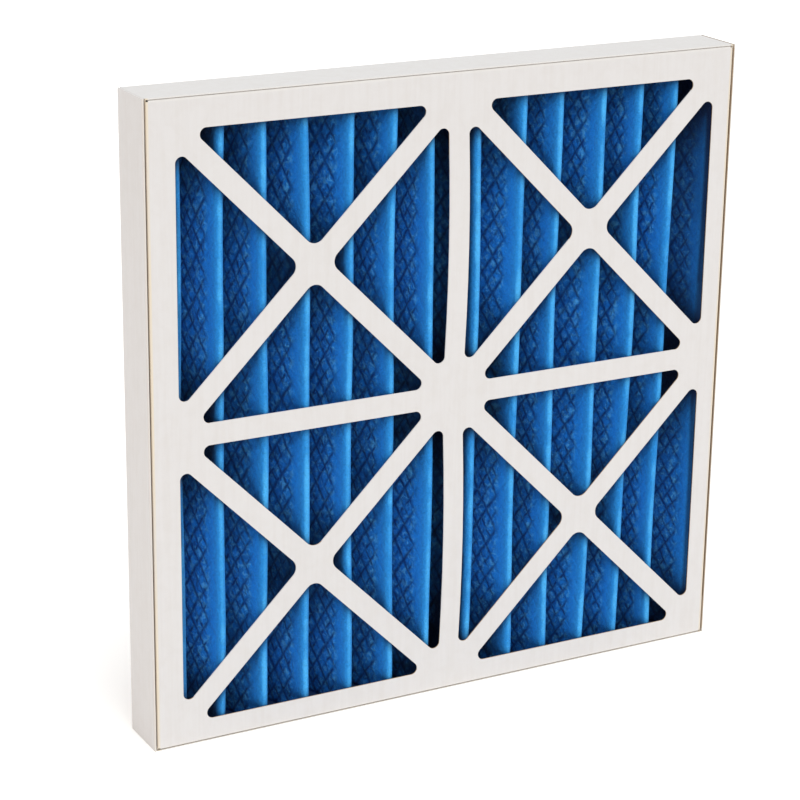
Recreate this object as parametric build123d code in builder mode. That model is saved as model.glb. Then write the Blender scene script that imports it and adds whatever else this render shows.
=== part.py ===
"""Pleated panel air filter: a nonwoven sheet and its expanded-metal backing, folded
together and bonded into a frame made of two die-cut board trays, one inside the other.

The frame stands on its bottom edge. The origin is the middle of that edge, +Z is up,
the intake face looks towards -Y and the outlet face towards +Y. Sizes are millimetres.
"""

import os
from math import acos, atan2, cos, hypot, sin, sqrt

from build123d import *

# --- Overall size: the actual size of a nominal 20 x 20 x 2 inch panel ---
face_width = 495.0
face_height = 495.0
filter_depth = 46.0

# --- Board of the two trays ---
board = 0.8  # thickness of the moisture-proof board
bend_radius = 0.4  # inside radius of a creased fold
slip = 0.3  # clearance between pieces that slide together
glue_line = 0.2  # glue between a corner tab and the wall it is stuck to
tab_length = 40.0
tab_relief = 2.0  # how far a tab stays clear of the face and of the wall's free edge
tab_taper = 8.0

# --- Cut-outs of the two faces: four windows, each crossed by an X of struts ---
border = 21.0  # width of the face around the windows where they are centred
centre_bar = 17.0  # width of the upright and the level bar between the windows
strut = 17.0  # width of the diagonal struts
corner_radius = 5.0  # at the two sharp corners of a cut-out
apex_radius = 8.5  # at the corner that points at the crossing
bar_bow = 2.5  # how far the intake face's upright bar bows sideways beside each window
intake_offset = (2.5, -2.8)  # how far the intake face's cut-outs lie right of and above its middle

# --- Folded media and its backing ---
pleats = 14
media = 2.0  # thickness of the nonwoven sheet
tip_radius = 2.5  # radius of a fold, at the middle of the media
tip_gap = 0.3  # glue between a pleat tip and the board
bond = 0.15  # glue between the media and its backing
backing = 0.5  # thickness of the expanded metal
end_leg = 34.0  # length of the last leg, stuck along a side wall
diamond_rows = 4
strand = 3.0  # metal left between a diamond and its neighbour or a fold

# --- Adhesive that closes the pack's four edges ---
end_seal = 1.0  # thickness over the cut ends of the pleats
seal_depth = 40.0
tab_clearance = 1.0  # between a side seal and a corner tab

# --- Tied values: the two trays and their windows ---
fold = bend_radius + board  # outside radius of a fold
inner_width = face_width - 4 * board - 2 * glue_line - 2 * slip
inner_height = face_height - 2 * board - 2 * slip
inner_reach = filter_depth - board - slip
mid_height = face_height / 2
window_width = (face_width - 2 * border - centre_bar) / 2
window_height = (face_height - 2 * border - centre_bar) / 2

# --- Tied values: the space for the pack inside the inner tray ---
inner_wall_x = inner_width / 2 - board
pack_x = inner_wall_x - glue_line - board - slip
pack_z = inner_height / 2 - board - end_seal
end_seal_x = pack_x - bend_radius  # clear of the round inside each corner tab's fold

# --- Tied values: the folds, whose tips turn about centres in two rows ---
backing_front = media / 2 + bond
backing_rear = backing_front + backing
leg_x = pack_x - backing_rear
front_centre_y = -filter_depth / 2 + board + tip_gap + media / 2 + tip_radius
rear_centre_y = filter_depth / 2 - board - tip_gap - backing_rear - tip_radius
leg_end_y = rear_centre_y - end_leg
end_centre_x = leg_x - tip_radius
half_pitch = end_centre_x / pleats
row_gap = rear_centre_y - front_centre_y
centre_distance = hypot(half_pitch, row_gap)
flank_length = sqrt(centre_distance**2 - (2 * tip_radius) ** 2)
flank_angle = acos(2 * tip_radius / centre_distance) - atan2(row_gap, half_pitch)
flank_x, flank_y = cos(flank_angle), sin(flank_angle)  # how the tangent points lie
diamond_pitch = 2 * pack_z / diamond_rows

intake = Plane(origin=(0, -filter_depth / 2, mid_height), x_dir=(1, 0, 0), z_dir=(0, -1, 0))
outlet = Plane(origin=(0, filter_depth / 2, mid_height), x_dir=(-1, 0, 0), z_dir=(0, 1, 0))


def fold_profile(plane, reach):
    """Section of a fold: a quarter round out of the face, then a wall of board."""
    with BuildSketch(plane) as profile:
        with BuildLine():
            RadiusArc((-fold, 0), (0, -fold), fold)
            Polyline((0, -fold), (0, -reach), (-board, -reach), (-board, -fold))
            RadiusArc((-board, -fold), (-fold, -board), -bend_radius)
            Line((-fold, -board), (-fold, 0))
        make_face()
    return profile.sketch


def cutout(width, height, bow):
    """The lower cut-out of a window: a rounded triangle with its apex at the crossing.

    The origin is the window's centre, and bow lifts the middle of the long side.
    """
    half_strut = strut / 2 * hypot(width, height)
    half_base = width / 2 - half_strut / height
    base_y = -height / 2
    with BuildSketch() as triangle:
        with BuildLine():
            if bow:
                ThreePointArc((-half_base, base_y), (0, base_y + bow), (half_base, base_y))
            else:
                Line((-half_base, base_y), (half_base, base_y))
            Polyline((half_base, base_y), (0, -half_strut / width), (-half_base, base_y))
        make_face()
        fillet(triangle.vertices().sort_by(Axis.Y)[:2], radius=corner_radius)
        fillet(triangle.vertices().sort_by(Axis.Y)[-1], radius=apex_radius)
    return triangle.sketch


def cutouts(bow):
    """All the cut-outs of a face. Only those beside the upright bar follow its bow."""
    with BuildSketch() as holes:
        for window in GridLocations(window_width + centre_bar, window_height + centre_bar, 2, 2):
            left_window = window.position.X < 0
            below_and_above = cutout(window_width, window_height, 0)
            left = cutout(window_height, window_width, 0 if left_window else bow)
            right = cutout(window_height, window_width, -bow if left_window else 0)
            with Locations(window):
                add(below_and_above)
                add(below_and_above, rotation=180)
                add(right, rotation=90)
                add(left, rotation=-90)
    return holes.sketch


def folded_tray(width, height, reach, bow=0.0, offset=(0, 0)):
    """One die-cut sheet: a face with cut-outs, four walls and a glue tab in each corner.

    The face looks along +Z with its outside at the origin, and the walls reach back.
    The offset moves all the cut-outs off the middle of the face.
    """
    tab_x = width / 2 - board - glue_line
    with BuildPart() as tray:
        # The top wall, and the tab that turns down from its right-hand end.
        top_edge = Plane(origin=(0, height / 2, 0), x_dir=(0, 1, 0), z_dir=(1, 0, 0))
        extrude(fold_profile(top_edge, reach), amount=tab_x - fold, both=True)
        tab_start = Plane(origin=(tab_x, height / 2, -reach + tab_relief))
        extrude(fold_profile(tab_start, tab_length), amount=reach - fold - 2 * tab_relief)
        chamfer(tray.edges().filter_by(Axis.X).group_by(Axis.Y)[0], length=tab_taper)
        # The right-hand wall, which runs past its fold to close both corners.
        right_edge = Plane(origin=(width / 2, 0, 0), x_dir=(1, 0, 0), z_dir=(0, -1, 0))
        extrude(fold_profile(right_edge, reach), amount=height / 2 - fold, both=True)
        with Locations((width / 2 - board / 2, 0, -(reach + fold) / 2)):
            Box(board, height, reach - fold)
        mirror(about=Plane.YZ)
        mirror(about=Plane.XZ)
        with BuildSketch():
            Rectangle(width - 2 * fold, height - 2 * fold)
            with Locations(offset):
                add(cutouts(bow), mode=Mode.SUBTRACT)
        extrude(amount=-board)
    return tray.part


def pleat_line(shift, rounded):
    """Draw the folded line that lies behind the middle of the media by shift.

    The inside of each fold is a crease. Its outside is round, or else has a flat crest.
    """
    last_tip = 2 * pleats
    point = (-leg_x - shift, leg_end_y)
    for tip in range(last_tip + 1):
        side = 1 if tip % 2 == 0 else -1
        x = (tip - pleats) * half_pitch
        y = rear_centre_y if side > 0 else front_centre_y
        radius = tip_radius + side * shift
        in_x, in_y = (1, 0) if tip == 0 else (flank_x, flank_y)
        out_x, out_y = (1, 0) if tip == last_tip else (flank_x, flank_y)
        arrive = (x - in_x * radius, y + side * in_y * radius)
        leave = (x + out_x * radius, y + side * out_y * radius)
        apex = (x, y + side * radius)
        Line(point, arrive)
        if side * shift < 0:
            Polyline(arrive, apex, leave)
        elif rounded:
            ThreePointArc(arrive, apex, leave)
        else:
            crest_in = (x - radius * (1 - in_y) / in_x, apex[1])
            crest_out = (x + radius * (1 - out_y) / out_x, apex[1])
            Polyline(arrive, crest_in, crest_out, leave)
        point = leave
    Line(point, (leg_x + shift, leg_end_y))


def folded_sheet(front_shift, rear_shift, rounded):
    """A pleated sheet between the two lines that lie behind the media's middle so far."""
    with BuildPart() as sheet:
        with BuildSketch(Plane.XY.offset(mid_height - pack_z)):
            with BuildLine():
                pleat_line(front_shift, rounded)
                pleat_line(rear_shift, rounded)
                for side in (-1, 1):
                    front_x = side * (leg_x + front_shift)
                    rear_x = side * (leg_x + rear_shift)
                    Line((front_x, leg_end_y), (rear_x, leg_end_y))
            make_face()
        extrude(amount=2 * pack_z)
    return sheet.part


# The outer tray: the outlet face, whose walls wrap the whole filter.
with BuildPart(outlet) as rear_frame:
    add(folded_tray(face_width, face_height, filter_depth))
rear_frame.part.label = "rear_frame"

# The inner tray: the intake face, whose walls slide in against the outer ones.
with BuildPart(intake) as front_frame:
    add(folded_tray(inner_width, inner_height, inner_reach, bar_bow, intake_offset))
front_frame.part.label = "front_frame"

# The nonwoven sheet, folded into upright pleats with a leg along each side wall.
with BuildPart() as pleated_media:
    add(folded_sheet(-media / 2, media / 2, rounded=True))
pleated_media.part.label = "pleated_media"

# The expanded metal, stuck to the outlet side of the media and folded with it.
with BuildPart() as support_mesh:
    add(folded_sheet(backing_front, backing_rear, rounded=False))
    for flank in range(2 * pleats):
        lean = 1 if flank % 2 == 0 else -1
        middle_x = (flank + 0.5 - pleats) * half_pitch + lean * flank_x * backing_rear
        middle_y = (rear_centre_y + front_centre_y) / 2 + flank_y * backing_rear
        flank_plane = Plane(
            origin=(middle_x, middle_y, mid_height),
            x_dir=(flank_y, -lean * flank_x, 0),
            z_dir=(lean * flank_x, flank_y, 0),
        )
        with BuildSketch(flank_plane):
            with GridLocations(flank_length, diamond_pitch, 1, diamond_rows):
                across = flank_length / 2 - strand
                along = (diamond_pitch - strand) / 2
                Polygon((-across, 0), (0, -along), (across, 0), (0, along))
        extrude(amount=2 * backing, both=True, mode=Mode.SUBTRACT)
support_mesh.part.label = "support_mesh"

# Adhesive that beds the cut ends of the pleats on the inner tray's level walls.
end_seals = []
for name, side in (("top_seal", 1), ("bottom_seal", -1)):
    with BuildPart() as seal:
        with Locations((0, 0, mid_height + side * (pack_z + end_seal / 2))):
            Box(2 * end_seal_x, seal_depth, end_seal)
    seal.part.label = name
    end_seals.append(seal)

# Adhesive that sticks the last leg at each end to the inner tray's side wall.
side_seals = []
for name, side in (("left_seal", -1), ("right_seal", 1)):
    with BuildPart() as seal:
        with Locations((side * (pack_x + inner_wall_x) / 2, rear_centre_y - end_leg / 2, mid_height)):
            Box(inner_wall_x - pack_x, end_leg, inner_height - 2 * (tab_length + tab_clearance))
    seal.part.label = name
    side_seals.append(seal)

os.makedirs("parts", exist_ok=True)
export_step(rear_frame.part, "parts/rear_frame.step")
export_step(front_frame.part, "parts/front_frame.step")
export_step(pleated_media.part, "parts/pleated_media.step")
export_step(support_mesh.part, "parts/support_mesh.step")
for seal in end_seals + side_seals:
    export_step(seal.part, f"parts/{seal.part.label}.step")
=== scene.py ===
"""Looks of a pleated panel air filter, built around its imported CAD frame, in metres."""

import math

import bpy
import numpy as np
from mathutils import Matrix, Vector


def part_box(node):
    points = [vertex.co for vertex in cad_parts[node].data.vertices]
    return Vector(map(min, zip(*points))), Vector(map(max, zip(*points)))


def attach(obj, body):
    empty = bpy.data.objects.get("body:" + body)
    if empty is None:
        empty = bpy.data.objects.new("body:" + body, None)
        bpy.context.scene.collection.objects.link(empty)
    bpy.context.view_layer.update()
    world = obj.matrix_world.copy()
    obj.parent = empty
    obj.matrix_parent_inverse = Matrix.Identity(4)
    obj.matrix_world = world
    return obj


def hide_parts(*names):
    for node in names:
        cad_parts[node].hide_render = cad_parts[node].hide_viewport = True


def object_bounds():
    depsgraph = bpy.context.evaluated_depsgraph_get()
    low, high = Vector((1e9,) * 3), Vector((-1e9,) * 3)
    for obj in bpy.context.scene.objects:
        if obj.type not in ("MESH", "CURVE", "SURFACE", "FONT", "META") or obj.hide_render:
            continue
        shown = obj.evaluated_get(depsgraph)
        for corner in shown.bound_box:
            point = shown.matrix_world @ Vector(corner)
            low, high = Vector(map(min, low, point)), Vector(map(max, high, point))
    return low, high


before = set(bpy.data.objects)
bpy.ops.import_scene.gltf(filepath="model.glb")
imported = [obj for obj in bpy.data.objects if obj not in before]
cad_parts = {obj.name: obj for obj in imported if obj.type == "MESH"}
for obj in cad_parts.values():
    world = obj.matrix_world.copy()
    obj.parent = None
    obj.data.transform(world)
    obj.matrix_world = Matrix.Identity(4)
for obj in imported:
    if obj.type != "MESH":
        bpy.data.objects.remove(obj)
cad_low, cad_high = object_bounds()

# --- Camera ---
# A long lens at about two metres, to the left of the intake face and a little above it.
# It is held with a slight roll.
CAMERA_TARGET = Vector((-0.0311, 0.0, 0.2388))
CAMERA_DISTANCE = 1.9045
CAMERA_AZIMUTH, CAMERA_ELEVATION, CAMERA_ROLL = (math.radians(a) for a in (-28.53, 18.66, 0.8))
CAMERA_LENS, CAMERA_SENSOR = 112.2, 36.0
CAMERA_REACH = 30.0

camera_data = bpy.data.cameras.new("camera")
camera_data.sensor_width = CAMERA_SENSOR
camera_data.lens = CAMERA_LENS
camera_data.clip_end = CAMERA_REACH
camera = bpy.data.objects.new("camera", camera_data)
bpy.context.scene.collection.objects.link(camera)
camera_back = Vector((
    math.sin(CAMERA_AZIMUTH) * math.cos(CAMERA_ELEVATION),
    -math.cos(CAMERA_AZIMUTH) * math.cos(CAMERA_ELEVATION),
    math.sin(CAMERA_ELEVATION),
))
camera_turn = camera_back.to_track_quat("Z", "Y").to_matrix()
camera_turn = camera_turn @ Matrix.Rotation(CAMERA_ROLL, 3, "Z")
camera_place = Matrix.Translation(CAMERA_TARGET + camera_back * CAMERA_DISTANCE)
camera.matrix_world = camera_place @ camera_turn.to_4x4()
bpy.context.scene.camera = camera

# --- Folded nonwoven media ---
# One sheet of blue polyester nonwoven, folded into fourteen upright pleats. It is stuck to its
# metal backing along the strands and puffs out a little between them, towards the intake.
MM = 0.001
PLEATS = 14
MEDIA = 2.0 * MM
TIP_RADIUS = 2.5 * MM
END_LEG = 34.0 * MM
TIP_DIAMONDS, FLANK_DIAMONDS, LEG_DIAMONDS = 0.5, 2.0, 1.5  # the lattice's length over each part
DIAMONDS_UP = 16.5  # rows of diamonds from the bottom of the sheet to its top
CELLS_PER_DIAMOND = 8
LEG_CELLS, TIP_CELLS = 6, 6
REAR_STEP_ALONG, REAR_STEP_UP = 2, 3  # the outlet side has fewer, larger cells
PUFF = 0.8 * MM  # how far the media puffs out of a diamond
SMOOTH_DEPTH, PUFFED_DEPTH = 9.0 * MM, 17.0 * MM  # the sheet is stretched smooth over its tips
# How far each intake-side tip has been pushed along X, from the left, and how far its top leans
# to the right of that.
TIP_DRIFT = [x * MM for x in (-1, -2.4, -2.1, -1.8, .1, 1, -.4, 3.8, 7.3, 5.6, 9.3, 7.8, 4.9, 9)]
TIP_LEAN = [x * MM for x in (0, 2.5, .8, -1.2, -1, -.2, -1.1, 0, 0, .4, 2.6, 2.3, 1.1, 0)]
# Every tip also wanders from a straight line, in two waves. Each wave has its share of
# TIP_WAVE, its turn for each diamond up, and its turn from one tip to the next.
TIP_WAVE = 0.9 * MM
TIP_WAVES = ((1.0, 0.32, 2.4), (0.5, 0.83, 4.1))

media_low, media_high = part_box("pleated_media")
sheet_height = media_high.z - media_low.z
leg_x = media_high.x - MEDIA / 2
front_centre_y = media_low.y + MEDIA / 2 + TIP_RADIUS
rear_centre_y = media_high.y - MEDIA / 2 - TIP_RADIUS
row_gap = rear_centre_y - front_centre_y
half_pitch = (leg_x - TIP_RADIUS) / PLEATS
last_tip = 2 * PLEATS
fold_diamonds = TIP_DIAMONDS + FLANK_DIAMONDS
fold_end = last_tip * fold_diamonds + TIP_DIAMONDS


def tip_lines(up):
    """X of every tip at those heights in the lattice, from the first rear tip to the last."""
    lines = []
    for tip in range(last_tip + 1):
        even = (tip - PLEATS) * half_pitch
        if tip in (0, last_tip):
            lines.append(np.full_like(up, even))
            continue
        height = 2 * up / DIAMONDS_UP - 1
        before, after = (
            TIP_DRIFT[k] + TIP_LEAN[k] * height
            for k in ((tip - 1) // 2, min(tip // 2, PLEATS - 1)))
        wave = sum(share * np.sin(turn * up + step * tip) for share, turn, step in TIP_WAVES)
        lines.append(even + (before + after) / 2 + TIP_WAVE * wave)
    return np.stack(lines, axis=1)


def sheet_points(along, up, offset):
    """Points of the folded sheet at places in its flat lattice, counted in diamonds. offset is
    how far a point lies from the middle of the media, towards the outlet."""
    lines = tip_lines(up)
    rows = np.arange(len(up))
    tip = np.clip(np.floor(along / fold_diamonds), 0, last_tip).astype(int)
    rest = along - tip * fold_diamonds
    side = np.where(tip % 2 == 0, 1, -1)  # a rear tip bulges towards +Y, a front tip towards -Y
    gaps = np.diff(lines, axis=1)
    turns = np.arccos(2 * TIP_RADIUS / np.hypot(gaps, row_gap)) - np.arctan2(row_gap, gaps)
    leave = np.where(tip < last_tip, turns[rows, np.minimum(tip, last_tip - 1)], 0)
    arrive = np.where(tip > 0, turns[rows, np.maximum(tip - 1, 0)], 0)
    centre_x = lines[rows, tip]
    centre_y = np.where(side > 0, rear_centre_y, front_centre_y)
    share = np.clip(rest / TIP_DIAMONDS, 0, 1)
    angle = math.pi - arrive + (leave - math.pi + arrive) * share
    reach = TIP_RADIUS + side * offset
    x = centre_x + reach * np.cos(angle)
    y = centre_y + side * reach * np.sin(angle)
    run = np.clip((rest - TIP_DIAMONDS) / FLANK_DIAMONDS, 0, None)
    far_reach = TIP_RADIUS - side * offset
    to_x = lines[rows, np.minimum(tip + 1, last_tip)] - far_reach * np.cos(leave)
    to_y = np.where(side > 0, front_centre_y, rear_centre_y)
    to_y = to_y - side * far_reach * np.sin(leave)
    on_flank = (run > 0) & (tip < last_tip)
    x = np.where(on_flank, x + (to_x - x) * run, x)
    y = np.where(on_flank, y + (to_y - y) * run, y)
    past = np.where(along < 0, -along, np.clip(along - fold_end, 0, None)) / LEG_DIAMONDS
    x = np.where(past > 0, np.where(along < 0, -leg_x - offset, leg_x + offset), x)
    y = np.where(past > 0, rear_centre_y - END_LEG * past, y)
    z = media_low.z + sheet_height * up / DIAMONDS_UP
    return np.stack([x, y, z], axis=1)


def mesh_object(name, vertices, faces, uv=None):
    """An object of that mesh. uv gives each vertex its place in the lattice."""
    mesh = bpy.data.meshes.new(name)
    mesh.from_pydata(vertices.tolist(), [], faces)
    if uv is not None:
        corners = np.empty(len(mesh.loops), np.int32)
        mesh.loops.foreach_get("vertex_index", corners)
        layer = mesh.uv_layers.new(name="lattice")
        layer.uv.foreach_set("vector", uv[corners].astype(np.float32).ravel())
    piece = bpy.data.objects.new(name, mesh)
    bpy.context.scene.collection.objects.link(piece)
    return piece


def grid_faces(first, columns, rows, flip):
    """Quads over a grid of columns by rows of vertices."""
    faces = []
    for c in range(columns - 1):
        for r in range(rows - 1):
            a = first + c * rows + r
            quad = (a, a + rows, a + rows + 1, a + 1)
            faces.append(quad[::-1] if flip else quad)
    return faces


def rounded_step(low, high, value):
    """0 below low and 1 above high, with a rounded step between them."""
    t = np.clip((value - low) / (high - low), 0, 1)
    return t * t * (3 - 2 * t)


# Columns of the mesh run from one end leg over all the tips and flanks to the other leg.
stations = [-LEG_DIAMONDS * (1 - i / LEG_CELLS) for i in range(LEG_CELLS)]
for tip in range(last_tip + 1):
    stations += [tip * fold_diamonds + TIP_DIAMONDS * i / TIP_CELLS for i in range(TIP_CELLS)]
    if tip < last_tip:
        flank_start = tip * fold_diamonds + TIP_DIAMONDS
        cells = int(FLANK_DIAMONDS * CELLS_PER_DIAMOND)
        stations += [flank_start + i / CELLS_PER_DIAMOND for i in range(cells)]
stations += [fold_end + LEG_DIAMONDS * i / LEG_CELLS for i in range(LEG_CELLS + 1)]
front_columns = len(stations)
front_rows = int(DIAMONDS_UP * CELLS_PER_DIAMOND) + 1
along, up = np.meshgrid(stations, np.linspace(0, DIAMONDS_UP, front_rows), indexing="ij")
along, up = along.ravel(), up.ravel()

# The pillow is 0 on a strand and 1 in the middle of a diamond.
first_family, second_family = (along + up) % 1, (along - up) % 1
pillow = np.sqrt(16 * first_family * (1 - first_family) * second_family * (1 - second_family))
sheet_depth = sheet_points(along, up, 0 * along)[:, 1] - media_low.y
puff = PUFF * pillow * rounded_step(SMOOTH_DEPTH, PUFFED_DEPTH, sheet_depth)
front_side = sheet_points(along, up, -MEDIA / 2 - puff)
rear_picks = np.arange(len(along)).reshape(front_columns, front_rows)
rear_picks = rear_picks[::REAR_STEP_ALONG, ::REAR_STEP_UP]
rear_columns, rear_rows = rear_picks.shape
rear_picks = rear_picks.ravel()
rear_along, rear_up = along[rear_picks], up[rear_picks]
rear_side = sheet_points(rear_along, rear_up, MEDIA / 2 + 0 * rear_along)

# The two sides are joined round the four edges of the sheet.
rear_first = len(front_side)
faces = grid_faces(0, front_columns, front_rows, False)
faces += grid_faces(rear_first, rear_columns, rear_rows, True)
for at_top in (False, True):
    edge, rear_edge = (front_rows - 1, rear_rows - 1) if at_top else (0, 0)
    for c in range(rear_columns - 1):
        front_column = c * REAR_STEP_ALONG
        front_run = [(front_column + k) * front_rows + edge for k in range(REAR_STEP_ALONG + 1)]
        rear_run = [rear_first + (c + 1 - k) * rear_rows + rear_edge for k in range(2)]
        rim = front_run + rear_run
        faces.append(rim if at_top else rim[::-1])
for at_end in (False, True):
    edge, rear_edge = (front_columns - 1, rear_columns - 1) if at_end else (0, 0)
    for r in range(rear_rows - 1):
        front_run = [edge * front_rows + r * REAR_STEP_UP + k for k in range(REAR_STEP_UP + 1)]
        rear_run = [rear_first + rear_edge * rear_rows + r + 1 - k for k in range(2)]
        rim = front_run + rear_run
        faces.append(rim[::-1] if at_end else rim)
lattice = np.stack([along, up], axis=1)
media = mesh_object(
    "media_sheet", np.concatenate([front_side, rear_side]), faces,
    np.concatenate([lattice, lattice[rear_picks]]))
media.data.shade_smooth()

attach(media, "root")
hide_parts("pleated_media")

# The pack is dark where the board shades it. Each point stores the share of daylight that comes
# past the board to it, over a fan of slopes from it out through a tray's face.
MAP_STEP = 1.0 * MM
FACE_TOLERANCE = 0.1 * MM
SHADE_REACH = 7.0 * MM  # how far the board's edges cast their shade sideways, even on a tip
SIDE_SLOPES = (-1.5, -1.1, -0.8, -0.5, -0.25, 0.0, 0.25, 0.5, 0.8, 1.1, 1.5)
UP_SLOPES = (-1.8, -1.2, -0.8, -0.4, 0.0, 0.4, 0.8, 1.2, 1.6, 2.2)
BRIGHTEST_SLOPE, SLOPE_FADE = 0.3, 1.5  # most of the light comes from a little above
LEAST_MOUTH = 0.02  # keeps the share steady where hardly a slope of the fan gets out
OPEN_SPACE = 1.0  # no tip bounds the light that reaches another tip
END_PLEAT_LIGHT = (0.80, 0.43)  # at the foot and the top of the last pleat, which is half shut

tray_low, tray_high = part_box("rear_frame")
inner_low, inner_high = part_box("front_frame")


def board_map(tray, face_y):
    """Where a tray's face is board and where it is cut out, on a grid of MAP_STEP cells."""
    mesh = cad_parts[tray].data
    mesh.calc_loop_triangles()
    spots = np.array([v.co for v in mesh.vertices])
    corners = np.array([t.vertices for t in mesh.loop_triangles])
    flat = np.abs(spots[corners][:, :, 1] - face_y).max(axis=1) < FACE_TOLERANCE
    x = np.arange(cad_low.x, cad_high.x, MAP_STEP)
    z = np.arange(cad_low.z, cad_high.z, MAP_STEP)
    covered = np.zeros((len(x), len(z)), bool)
    for a, b, c in spots[corners[flat]][:, :, [0, 2]]:
        low, high = np.minimum(np.minimum(a, b), c), np.maximum(np.maximum(a, b), c)
        i0, i1 = np.searchsorted(x, (low[0], high[0]))
        j0, j1 = np.searchsorted(z, (low[1], high[1]))
        gx, gz = np.meshgrid(x[i0:i1], z[j0:j1], indexing="ij")
        sides = [
            (q[0] - p[0]) * (gz - p[1]) - (q[1] - p[1]) * (gx - p[0])
            for p, q in ((a, b), (b, c), (c, a))]
        covered[i0:i1, j0:j1] |= (np.min(sides, axis=0) >= 0) | (np.max(sides, axis=0) <= 0)
    return covered


def daylight(points, along, up, tray, face_y, first_valley):
    """The share of the light between two tips that a tray's board lets through to each point.
    first_valley is 0 on the intake side, whose valleys are the even tips, and 1 on the other."""
    covered = board_map(tray, face_y)
    lines = tip_lines(up)
    rows = np.arange(len(up))
    tip = np.clip(np.floor(along / fold_diamonds), 0, last_tip).astype(int)
    in_valley = tip % 2 == first_valley
    on_crest = ~in_valley & (along - tip * fold_diamonds <= TIP_DIAMONDS)
    valley = np.where(in_valley, tip, tip + 1)
    inset = TIP_RADIUS + MEDIA / 2
    low = lines[rows, np.clip(valley - 1, 0, last_tip)] + inset
    high = lines[rows, np.clip(valley + 1, 0, last_tip)] - inset
    low = np.where(on_crest, -OPEN_SPACE, np.where(valley < 1, -leg_x, low))
    high = np.where(on_crest, OPEN_SPACE, np.where(valley > last_tip - 1, leg_x, high))
    depth = np.abs(points[:, 1] - face_y) + SHADE_REACH
    let_in, mouth = np.zeros(len(up)), np.full(len(up), LEAST_MOUTH)
    for slope_x in SIDE_SLOPES:
        for slope_z in UP_SLOPES:
            weight = (1 + slope_x ** 2 + (slope_z - BRIGHTEST_SLOPE) ** 2) ** -SLOPE_FADE
            x, z = points[:, 0] + depth * slope_x, points[:, 2] + depth * slope_z
            i = np.clip(((x - cad_low.x) / MAP_STEP).astype(int), 0, covered.shape[0] - 1)
            j = np.clip(((z - cad_low.z) / MAP_STEP).astype(int), 0, covered.shape[1] - 1)
            between = weight * ((x > low) & (x < high))
            let_in += between * ~covered[i, j]
            mouth += between
    shut = (along > (last_tip - 2) * fold_diamonds) & (first_valley == 0)
    return let_in / mouth * np.where(shut, np.interp(up, (0, DIAMONDS_UP), END_PLEAT_LIGHT), 1)


lit_front = daylight(front_side, along, up, "front_frame", inner_low.y, 0)
lit_rear = daylight(rear_side, rear_along, rear_up, "rear_frame", tray_high.y, 1)
light_share = media.data.attributes.new("daylight", "FLOAT", "POINT")
light_share.data.foreach_set("value", np.concatenate([lit_front, lit_rear]).astype(np.float32))


def add_node(tree, kind, inputs=None, **settings):
    """A new node. inputs gives its sockets values, or the sockets that feed them."""
    node = tree.nodes.new("ShaderNode" + kind)
    for name, value in settings.items():
        setattr(node, name, value)
    for name, value in (inputs or {}).items():
        if isinstance(value, bpy.types.NodeSocket):
            tree.links.new(value, node.inputs[name])
        else:
            node.inputs[name].default_value = value
    return node


def math_node(tree, operation, *values):
    """The result of a Math node."""
    return add_node(tree, "Math", dict(enumerate(values)), operation=operation).outputs[0]


def ramp(tree, value, low, high, to_low=0.0, to_high=1.0):
    """The value, spread smoothly between low and high."""
    inputs = {
        "Value": value, "From Min": low, "From Max": high, "To Min": to_low, "To Max": to_high}
    node = add_node(tree, "MapRange", inputs, interpolation_type="SMOOTHSTEP")
    return node.outputs["Result"]


def mix_colours(tree, share, first, second, blend="MIX"):
    """The second colour over the first, by share."""
    node = add_node(tree, "Mix", {"Factor": share}, data_type="RGBA", blend_type=blend)
    for socket, colour in ((node.inputs[6], first), (node.inputs[7], second)):
        if isinstance(colour, bpy.types.NodeSocket):
            tree.links.new(colour, socket)
        else:
            socket.default_value = colour
    return node.outputs[2]


def noise_node(tree, vector, scale, detail=2.0, output="Fac"):
    """Soft noise with about scale bumps in each metre of the vector."""
    inputs = {"Vector": vector, "Scale": scale, "Detail": detail}
    return add_node(tree, "TexNoise", inputs).outputs[output]


def add_bump(tree, shader, height, strength, distance):
    """Relief on a shader's surface."""
    inputs = {"Height": height, "Strength": strength, "Distance": distance}
    bump = add_node(tree, "Bump", inputs)
    tree.links.new(bump.outputs["Normal"], shader.inputs["Normal"])


def new_material(name, roughness, **constants):
    """A material with one Principled shader, whose constants are set on its own sockets."""
    material = bpy.data.materials.new(name)
    material.use_nodes = True
    shader = material.node_tree.nodes["Principled BSDF"]
    shader.inputs["Roughness"].default_value = roughness
    for socket, value in constants.items():
        shader.inputs[socket.replace("_", " ")].default_value = value
    return material, material.node_tree, shader


def new_group(name, inputs, outputs):
    """An empty node group with float and vector sockets, with its input and output nodes."""
    group = bpy.data.node_groups.new(name, "ShaderNodeTree")
    for socket, value in inputs.items():
        kind = "NodeSocketVector" if value is None else "NodeSocketFloat"
        made = group.interface.new_socket(socket, in_out="INPUT", socket_type=kind)
        if value is not None:
            made.default_value = value
    for socket in outputs:
        group.interface.new_socket(socket, in_out="OUTPUT", socket_type="NodeSocketFloat")
    group_in = group.nodes.new("NodeGroupInput").outputs
    group_out = group.nodes.new("NodeGroupOutput").inputs
    return group, group_in, group_out


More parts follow.
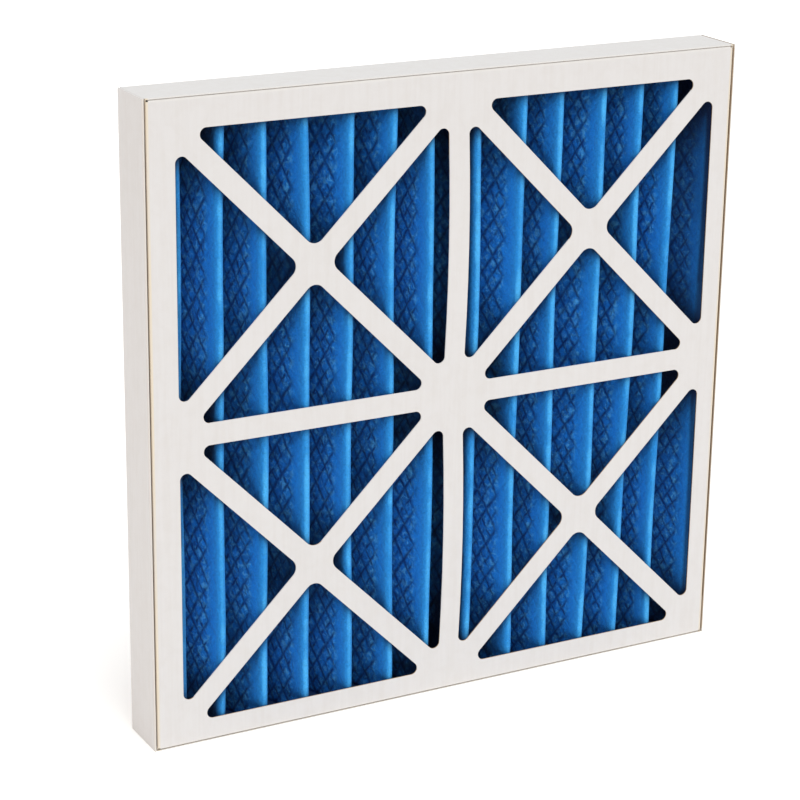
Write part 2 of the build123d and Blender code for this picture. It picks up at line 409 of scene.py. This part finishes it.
# Fibres: soft clumps with thin strands laid over them, of the sizes that Clump and Strand give.
# Nonwoven, board and glue all have it.
fibres, fibres_in, fibres_out = new_group(
    "fibres", {"Vector": None, "Clump": 0.006, "Strand": 0.001}, ["Clumps", "Strands"])
clump_scale = math_node(fibres, "DIVIDE", 1.0, fibres_in["Clump"])
clump_noise = add_node(fibres, "TexNoise", {
    "Vector": fibres_in["Vector"], "Scale": clump_scale, "Detail": 3.0, "Roughness": 0.6,
    "Distortion": 0.6})
strand_scale = math_node(fibres, "DIVIDE", 1.0, fibres_in["Strand"])
strand_noise = add_node(fibres, "TexNoise", {
    "Vector": fibres_in["Vector"], "Scale": strand_scale, "Detail": 4.0, "Roughness": 0.75,
    "Distortion": 1.6})
fibres.links.new(clump_noise.outputs["Fac"], fibres_out["Clumps"])
fibres.links.new(strand_noise.outputs["Fac"], fibres_out["Strands"])


def add_fibres(tree, vector, clump, strand):
    """The fibres group placed in a tree."""
    node = tree.nodes.new("ShaderNodeGroup")
    node.node_tree = fibres
    tree.links.new(vector, node.inputs["Vector"])
    node.inputs["Clump"].default_value = clump
    node.inputs["Strand"].default_value = strand
    return node.outputs


# Blues of the media from a tip down into a valley, lightest on the tips as a painted highlight,
# and the depths where each turns to the next.
TIP_HIGHLIGHT_BLUE = (0.064, 0.40, 0.82, 1)
SHOULDER_BLUE = (0.018, 0.23, 0.62, 1)
FLANK_BLUE = (0.010, 0.205, 0.67, 1)
HIGHLIGHT_TO_SHOULDER = (-0.5 * MM, 0.9 * MM)
SHOULDER_TO_FLANK = (0.8 * MM, 8.0 * MM)
DEPTH_WANDER = ((70.0, 1.4 * MM), (28.0, 3.0 * MM))
# Clumps of fibre between the strands of the backing, painted pale with light shining through
# the thin sheet from behind, and the shades of single fibres.
BACKLIT_FLUFF_BLUE = (0.10, 0.46, 0.84, 1)
BACKLIT_FLUFF_CLUMPS = (0.46, 0.66)
BACKLIT_FLUFF_SHARES = (0.05, 0.75)  # on the tips and in the valleys
FIBRE_SHADES = (0.35, 0.62, 0.75, 1.15)
# Lines of painted shade from the strands behind the sheet, which also sink into its relief as
# creases: along the strands, halfway between them, and as wrinkles. Each has a width in diamonds,
# and patches: two levels of noise and the strength of the marks at them.
STRAND_SHADOW_BLUE = (0.001, 0.016, 0.11, 1)
BACKLIT_DEPTHS = (7.0 * MM, 15.0 * MM)
RISING_WANDER = ((60.0, 0.16), (260.0, 0.10))
FALLING_WANDER = ((75.0, -0.16), (230.0, 0.10))
CREASE_WIDTH, CREASE_PATCHES, CREASE_SHARE = 0.17, (0.32, 0.58, 0.25, 1.0), 0.85
HALFWAY_WIDTH, HALFWAY_PATCHES = 0.13, (0.36, 0.62, 0.90, 0.35)
WRINKLE_WIDTH, WRINKLE_PATCHES = 0.24, (0.40, 0.60, 0.50, 0.10)
WRINKLES_PER_DIAMOND = 3.1
WRINKLE_NOISE, PATCH_NOISE = 120.0, 130.0
# The colour of the unlit places, and the shares of daylight between which it gives way.
DUSK_BLUE = (0.001, 0.006, 0.035, 1)
DUSK_SHARES = (0.20, 0.94)
DUSK_WANDER = (25.0, 0.10)
CLUMP_RELIEF = 2.5  # the height of the clumps in the relief, for a strand's of 1

nonwoven, tree, shader = new_material(
    "blue_nonwoven", roughness=0.9, Sheen_Weight=0.12, Sheen_Roughness=0.6,
    Sheen_Tint=(0.3, 0.6, 1, 1), Specular_IOR_Level=0.12)
place = add_node(tree, "TexCoord").outputs["Object"]
place_xyz = add_node(tree, "SeparateXYZ", {"Vector": place}).outputs
lattice_place = add_node(tree, "UVMap", uv_map="lattice").outputs["UV"]
lattice_xy = add_node(tree, "SeparateXYZ", {"Vector": lattice_place}).outputs
lit = add_node(tree, "Attribute", attribute_name="daylight").outputs["Fac"]


def wander(*waves):
    """Soft noise about zero over the media, the sum of waves with a scale and a size each."""
    parts = []
    for scale, size in waves:
        noise = math_node(tree, "SUBTRACT", noise_node(tree, place, scale), 0.5)
        parts.append(math_node(tree, "MULTIPLY", noise, size))
    return math_node(tree, "ADD", *parts) if len(parts) > 1 else parts[0]


def nearest_line(spacing):
    """How far the nearest line of the two crossing families is, when they have that spacing."""
    distances = [math_node(tree, "PINGPONG", family, spacing / 2) for family in (rising, falling)]
    return math_node(tree, "MINIMUM", *distances)


def patchy_marks(distance, width, patches):
    """Marks that fade out over a width from their lines and are broken up in patches."""
    marks = ramp(tree, distance, 0.0, width, 1.0, 0.0)
    return math_node(tree, "MULTIPLY", marks, ramp(tree, patch_noise, *patches))


depth = math_node(tree, "SUBTRACT", place_xyz["Y"], media_low.y)
depth = math_node(tree, "ADD", depth, wander(*DEPTH_WANDER))
backlit_zone = ramp(tree, depth, *BACKLIT_DEPTHS)
rising = math_node(tree, "ADD", lattice_xy["X"], lattice_xy["Y"])
rising = math_node(tree, "ADD", rising, wander(*RISING_WANDER))
falling = math_node(tree, "SUBTRACT", lattice_xy["X"], lattice_xy["Y"])
falling = math_node(tree, "ADD", falling, wander(*FALLING_WANDER))
patch_noise = noise_node(tree, place, PATCH_NOISE)
creases = patchy_marks(nearest_line(1.0), CREASE_WIDTH, CREASE_PATCHES)
halfway = patchy_marks(nearest_line(0.5), HALFWAY_WIDTH, HALFWAY_PATCHES)
wrinkle_bend = noise_node(tree, place, WRINKLE_NOISE, detail=3.0, output="Color")
wrinkle_place = add_node(
    tree, "VectorMath", {0: lattice_place, 1: wrinkle_bend}, operation="ADD").outputs[0]
wrinkle_inputs = {"Vector": wrinkle_place, "Scale": WRINKLES_PER_DIAMOND}
wrinkle_edges = add_node(tree, "TexVoronoi", wrinkle_inputs, feature="DISTANCE_TO_EDGE")
wrinkles = patchy_marks(wrinkle_edges.outputs["Distance"], WRINKLE_WIDTH, WRINKLE_PATCHES)
marks = math_node(tree, "MAXIMUM", math_node(tree, "MULTIPLY", creases, CREASE_SHARE), wrinkles)
marks = math_node(tree, "MAXIMUM", marks, halfway)

fuzz = add_fibres(tree, place, clump=4.5 * MM, strand=1.1 * MM)
# The tips are painted lighter, a highlight along each crest that fades into the flanks.
colour = mix_colours(tree, ramp(tree, depth, *HIGHLIGHT_TO_SHOULDER), TIP_HIGHLIGHT_BLUE, SHOULDER_BLUE)
colour = mix_colours(tree, ramp(tree, depth, *SHOULDER_TO_FLANK), colour, FLANK_BLUE)
# Painted light: the clumps are paler deep in the valleys, where light comes through from behind.
backlit_fluff_share = ramp(tree, backlit_zone, 0.0, 1.0, *BACKLIT_FLUFF_SHARES)
backlit_fluff = math_node(tree, "MULTIPLY", ramp(tree, fuzz["Clumps"], *BACKLIT_FLUFF_CLUMPS), backlit_fluff_share)
colour = mix_colours(tree, backlit_fluff, colour, BACKLIT_FLUFF_BLUE)
colour = mix_colours(tree, 1.0, colour, ramp(tree, fuzz["Strands"], *FIBRE_SHADES), "MULTIPLY")
# The lines are painted in as shade, deep in the valleys where light comes through from behind.
colour = mix_colours(tree, math_node(tree, "MULTIPLY", marks, backlit_zone), colour, STRAND_SHADOW_BLUE)
dusk = math_node(tree, "ADD", lit, wander(DUSK_WANDER))
colour = mix_colours(tree, ramp(tree, dusk, *DUSK_SHARES, 1.0, 0.0), colour, DUSK_BLUE)
tree.links.new(colour, shader.inputs["Base Color"])
relief = math_node(tree, "MULTIPLY", fuzz["Clumps"], CLUMP_RELIEF)
relief = math_node(tree, "SUBTRACT", relief, marks)
relief = math_node(tree, "ADD", fuzz["Strands"], relief)
add_bump(tree, shader, relief, strength=0.6, distance=0.9 * MM)
media.data.materials.append(nonwoven)

# --- Expanded-metal backing ---
# Thin galvanised steel, slit and stretched into diamonds, then rolled flat. It lies on the outlet
# side of the media, stuck to it, and the two are folded together.
BOND = 0.15 * MM
BACKING = 0.5 * MM
STRAND_SHARE = 0.10  # of the way from a strand's middle to the centre of a diamond
FLANK_PARTS, TIP_PARTS = 2, 6
LATTICE_DIGITS = 5
TIP_MARGIN = 0.01  # a strand that only starts at a tip's edge isn't on the tip
DARK_SPANGLE, LIGHT_SPANGLE = (0.50, 0.52, 0.54, 1), (0.66, 0.68, 0.70, 1)
SPANGLE_ROUGHNESS = (0.30, 0.46)
SPANGLES_PER_METRE = 260.0

lattice_places, strand_faces = {}, []


def lattice_vertex(x, y):
    """The number of the vertex at that place in the lattice, made once."""
    key = (round(x, LATTICE_DIGITS), round(y, LATTICE_DIGITS))
    return lattice_places.setdefault(key, len(lattice_places))


first_half, last_half = round(-2 * LEG_DIAMONDS), round(2 * (fold_end + LEG_DIAMONDS))
for half_x in range(first_half + 1, last_half):
    for half_y in range(1, int(2 * DIAMONDS_UP)):
        if (half_x + half_y) % 2 == 0:
            continue
        centre = np.array([half_x / 2, half_y / 2])
        corners = [centre + np.array(c) / 2 for c in ((1, 0), (0, 1), (-1, 0), (0, -1))]
        for start, stop in zip(corners, corners[1:] + corners[:1]):
            left = min(start[0], stop[0])
            on_tip = 0 <= left < fold_end and left % fold_diamonds < TIP_DIAMONDS - TIP_MARGIN
            parts = TIP_PARTS if on_tip else FLANK_PARTS
            outer = [start + (stop - start) * k / parts for k in range(parts + 1)]
            inner = [p + (centre - p) * STRAND_SHARE for p in outer]
            for k in range(parts):
                rim = (outer[k], outer[k + 1], inner[k + 1], inner[k])
                strand_faces.append([lattice_vertex(*p) for p in rim])
places = np.array(list(lattice_places))
count = len(places)
under, over = (
    sheet_points(places[:, 0], places[:, 1], np.full(count, MEDIA / 2 + BOND + lift))
    for lift in (0.0, BACKING))
edge_uses = {}
for face in strand_faces:
    for a, b in zip(face, face[1:] + face[:1]):
        edge_uses.setdefault((min(a, b), max(a, b)), []).append((a, b))
open_edges = [uses[0] for uses in edge_uses.values() if len(uses) == 1]
faces = [face[::-1] for face in strand_faces]
faces += [[v + count for v in face] for face in strand_faces]
faces += [(a, b, b + count, a + count) for a, b in open_edges]
metal = mesh_object("expanded_metal", np.concatenate([under, over]), faces)
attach(metal, "root")
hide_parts("support_mesh")

galvanised, tree, shader = new_material("galvanised_steel", roughness=0.38, Metallic=1.0)
place = add_node(tree, "TexCoord").outputs["Object"]
spangle_inputs = {"Vector": place, "Scale": SPANGLES_PER_METRE}
spangle = add_node(tree, "TexVoronoi", spangle_inputs).outputs["Color"]
tone = add_node(tree, "SeparateXYZ", {"Vector": spangle}).outputs["X"]
colour = mix_colours(tree, tone, DARK_SPANGLE, LIGHT_SPANGLE)
tree.links.new(colour, shader.inputs["Base Color"])
tree.links.new(ramp(tree, tone, 0.0, 1.0, *SPANGLE_ROUGHNESS), shader.inputs["Roughness"])
metal.data.materials.append(galvanised)

# --- Board trays ---
# Two die-cut trays of white-lined board with a moisture-proof face, creased and glued. One tray
# slides into the other, so their free edges lie side by side round the intake face.
OUTSIDE_WHITE = (0.655, 0.620, 0.605, 1)
OUTSIDE_SHADE = (0.605, 0.560, 0.533, 1)
STREAKS, STREAK_SHADE = (0.35, 0.7), 0.30
CLOUDS, CLOUD_SHADE = (0.4, 0.7), 0.25
GRAIN_STRETCH = (1.0, 1.0, 0.06)  # streaks of the board run up it
KRAFT = (0.40, 0.27, 0.16, 1)
INSIDE = (-2.0 * MM, -1.0 * MM)  # the inside looks back at the filter's middle
# Close to its face the inner tray is rubbed round its folds. On the side folds the lining is
# worn through, and the outer tray's cut edge beside them is rubbed a little too.
RUBBED_FOLD, END_RUB_SHARE = (0.70, 0.66, 0.62, 1), 0.6
CUT_EDGE = (0.70, 0.60, 0.47, 1)
FACE_RUB = (1.2 * MM, 2.2 * MM)
SIDE_RUB = (1.2 * MM, 2.6 * MM)
END_RUB = (1.2 * MM, 2.4 * MM)
TRAY_GAP, OUTER_TRAY_RUB = (-0.2 * MM, -0.1 * MM), 0.3
RUB_NOISE, RUB_WEAR = 160.0, (0.30, 0.60, 0.55, 1.0)

mid_height = (tray_low.z + tray_high.z) / 2
board, tree, shader = new_material(
    "lined_board", roughness=0.5, Specular_IOR_Level=0.35, Coat_Weight=0.12, Coat_Roughness=0.35)
place = add_node(tree, "TexCoord").outputs["Object"]
place_xyz = add_node(tree, "SeparateXYZ", {"Vector": place}).outputs
facing = add_node(tree, "NewGeometry").outputs["Normal"]
from_middle = add_node(
    tree, "VectorMath", {0: place, 1: (0, 0, mid_height)}, operation="SUBTRACT").outputs[0]
outward = add_node(
    tree, "VectorMath", {0: from_middle, 1: facing}, operation="DOT_PRODUCT").outputs["Value"]
inside = ramp(tree, outward, *INSIDE, 1.0, 0.0)
grain = add_node(tree, "Mapping", {"Vector": place, "Scale": GRAIN_STRETCH}).outputs["Vector"]
paper = add_fibres(tree, place, clump=12.0 * MM, strand=1.2 * MM)
streaks = add_fibres(tree, grain, clump=4.0 * MM, strand=0.8 * MM)
streak_shade = math_node(
    tree, "MULTIPLY", ramp(tree, streaks["Clumps"], *STREAKS), STREAK_SHADE)
cloud_shade = math_node(tree, "MULTIPLY", ramp(tree, paper["Clumps"], *CLOUDS), CLOUD_SHADE)
shade = math_node(tree, "ADD", streak_shade, cloud_shade)
colour = mix_colours(tree, shade, OUTSIDE_WHITE, OUTSIDE_SHADE)
colour = mix_colours(tree, inside, colour, KRAFT)

from_face = math_node(tree, "SUBTRACT", place_xyz["Y"], inner_low.y)
near_face = ramp(tree, from_face, *FACE_RUB, 1.0, 0.0)
from_bottom = math_node(tree, "SUBTRACT", place_xyz["Z"], inner_low.z)
from_top = math_node(tree, "SUBTRACT", inner_high.z, place_xyz["Z"])
from_end = math_node(tree, "MINIMUM", from_bottom, from_top)
end_rub = math_node(tree, "MULTIPLY", ramp(tree, from_end, *END_RUB, 1.0, 0.0), near_face)
end_rub = math_node(tree, "MULTIPLY", end_rub, END_RUB_SHARE)
colour = mix_colours(tree, end_rub, colour, RUBBED_FOLD)
off_middle = math_node(tree, "ABSOLUTE", place_xyz["X"])
from_side = math_node(tree, "SUBTRACT", inner_high.x, off_middle)
side_rub = math_node(tree, "MULTIPLY", ramp(tree, from_side, *SIDE_RUB, 1.0, 0.0), near_face)
tray_share = ramp(tree, from_side, *TRAY_GAP, OUTER_TRAY_RUB, 1.0)
side_rub = math_node(tree, "MULTIPLY", side_rub, tray_share)
rub_wear = ramp(tree, noise_node(tree, grain, RUB_NOISE, detail=4.0), *RUB_WEAR)
side_rub = math_node(tree, "MULTIPLY", side_rub, rub_wear)
colour = mix_colours(tree, side_rub, colour, CUT_EDGE)
tree.links.new(colour, shader.inputs["Base Color"])
paper_height = math_node(tree, "ADD", paper["Strands"], streaks["Strands"])
add_bump(tree, shader, paper_height, strength=0.12, distance=0.3 * MM)
for name in ("front_frame", "rear_frame"):
    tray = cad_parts[name]
    tray.data.materials.clear()
    tray.data.materials.append(board)

# --- Adhesive ---
# Beads of glue that close the four edges of the pack inside the inner tray, painted dark blue
# as the shade that falls on them deep in the valleys.
# They set with a dull skin.
SHADED_GLUE_DARK, SHADED_GLUE_LIGHT = (0.008, 0.022, 0.070, 1), (0.020, 0.055, 0.150, 1)

adhesive, tree, shader = new_material("set_adhesive", roughness=0.45)
place = add_node(tree, "TexCoord").outputs["Object"]
ripple = add_fibres(tree, place, clump=8.0 * MM, strand=2.0 * MM)
# Painted shade: the glue takes the dark blue of the shaded valley bottoms.
colour = mix_colours(tree, ripple["Clumps"], SHADED_GLUE_DARK, SHADED_GLUE_LIGHT)
tree.links.new(colour, shader.inputs["Base Color"])
add_bump(tree, shader, ripple["Clumps"], strength=0.5, distance=1.0 * MM)
for name in ("top_seal", "bottom_seal", "left_seal", "right_seal"):
    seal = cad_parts[name]
    seal.data.materials.clear()
    seal.data.materials.append(adhesive)

# --- Studio ---
# A plain pale floor that glows faintly, under an even white sky, with one broad soft lamp above
# the intake face.
FLOOR_SIZE = 12.0
SKY_COLOUR, SKY_STRENGTH = (1, 0.985, 0.965, 1), 0.73
SUN_COLOUR, SUN_STRENGTH = (0.84, 0.945, 1.0), 2.1
SUN_SPREAD = math.radians(50)
SUN_FROM = Vector((0.05, -0.40, 0.92))

bpy.context.scene.view_settings.view_transform = "Standard"
half = FLOOR_SIZE / 2
floor_corners = [(-half, -half, 0), (half, -half, 0), (half, half, 0), (-half, half, 0)]
floor_mesh = bpy.data.meshes.new("floor")
floor_mesh.from_pydata(floor_corners, [], [(0, 1, 2, 3)])
floor = bpy.data.objects.new("floor", floor_mesh)
bpy.context.scene.collection.objects.link(floor)
pale, tree, shader = new_material(
    "pale_floor", roughness=0.9, Base_Color=(0.97, 0.93, 0.90, 1), Specular_IOR_Level=0.0,
    Emission_Color=(1.0, 0.96, 0.94, 1), Emission_Strength=0.16)
floor_mesh.materials.append(pale)

sky = bpy.data.worlds.new("studio")
bpy.context.scene.world = sky
sky.use_nodes = True
sky.node_tree.nodes["Background"].inputs["Color"].default_value = SKY_COLOUR
sky.node_tree.nodes["Background"].inputs["Strength"].default_value = SKY_STRENGTH

sun_data = bpy.data.lights.new("overhead", "SUN")
sun_data.energy = SUN_STRENGTH
sun_data.angle = SUN_SPREAD
sun_data.color = SUN_COLOUR
sun = bpy.data.objects.new("overhead", sun_data)
sun.rotation_euler = SUN_FROM.to_track_quat("Z", "Y").to_euler()
bpy.context.scene.collection.objects.link(sun)
